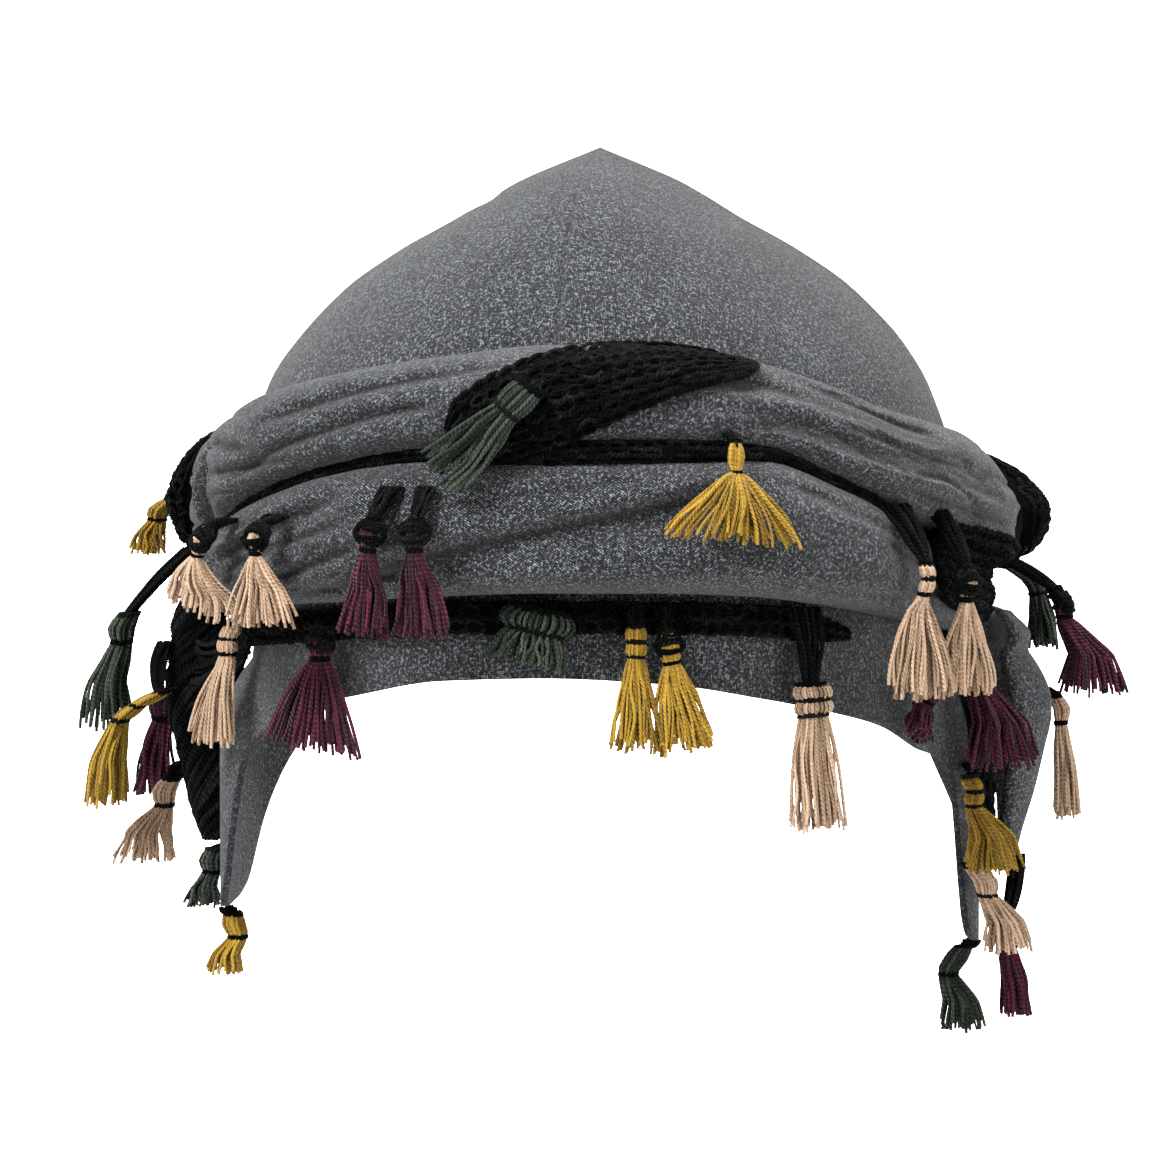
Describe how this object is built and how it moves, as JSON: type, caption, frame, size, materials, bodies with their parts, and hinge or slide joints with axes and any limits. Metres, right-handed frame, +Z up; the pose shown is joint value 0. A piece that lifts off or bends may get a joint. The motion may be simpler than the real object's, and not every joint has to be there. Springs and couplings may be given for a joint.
{
  "type": "durag",
  "caption": "Heather-grey jersey skull cap with a pointed crown and side flaps, under a twisted jersey wrap edged in black crochet with cotton tassels.",
  "frame": {"origin": "middle of the head opening, level with the middle of the brow hem", "axes": "+Z up to the crown, -Y to the brow (the front), +X to the wearer's left, which is the viewer's right from the front"},
  "size_m": [0.2592, 0.2588, 0.2109],
  "materials": {
    "jersey": "heathered charcoal cotton jersey, matt",
    "crochet": "black crocheted cotton yarn, matt",
    "green_cotton": "dark green plied cotton, soft sheen",
    "mustard_cotton": "mustard plied cotton, soft sheen",
    "beige_cotton": "beige plied cotton, soft sheen",
    "plum_cotton": "plum plied cotton, soft sheen"
  },
  "bodies": {
    "root": {"cap": "jersey", "wrap_upper": "jersey", "wrap_lower": "jersey", "wrap_end": "jersey", "trim_groove": "crochet", "trim_front": "crochet", "trim_brow": "crochet", "trim_side_left": "crochet", "trim_side_right": "crochet", "trim_band_right": "crochet", "trim_tail_right": "crochet", "trim_tail_left": "crochet", "tassel_beige_left_outer": "beige_cotton", "tassel_beige_left_inner": "beige_cotton", "tassel_beige_left_low": "beige_cotton", "tassel_plum_left": "plum_cotton", "tassel_plum_front_left": "plum_cotton", "tassel_plum_front_right": "plum_cotton", "tassel_green_top": "green_cotton", "tassel_green_brow": "green_cotton", "tassel_mustard_brow_left": "mustard_cotton", "tassel_mustard_brow_right": "mustard_cotton", "tassel_mustard_front": "mustard_cotton", "tassel_beige_brow": "beige_cotton", "tassel_beige_right_inner": "beige_cotton", "tassel_beige_right_outer": "beige_cotton", "tassel_plum_right_small": "plum_cotton", "tassel_plum_right": "plum_cotton", "tassel_mustard_right": "mustard_cotton", "tassel_beige_right_low": "beige_cotton", "tassel_plum_right_low": "plum_cotton", "tassel_green_right_low": "green_cotton", "tassel_plum_right_outer": "plum_cotton", "tassel_beige_right_back": "beige_cotton", "tassel_green_right_back": "green_cotton", "tassel_mustard_left_high": "mustard_cotton", "tassel_green_left": "green_cotton", "tassel_mustard_left": "mustard_cotton", "tassel_plum_left_back": "plum_cotton", "tassel_beige_left_back": "beige_cotton", "tassel_green_left_low": "green_cotton", "tassel_mustard_left_low": "mustard_cotton", "tassel_mustard_nape_right": "mustard_cotton", "tassel_plum_nape_right": "plum_cotton", "tassel_beige_nape": "beige_cotton", "tassel_green_nape": "green_cotton", "tassel_mustard_nape_left": "mustard_cotton", "tassel_plum_nape_left": "plum_cotton"}
  },
  "joints": []
}
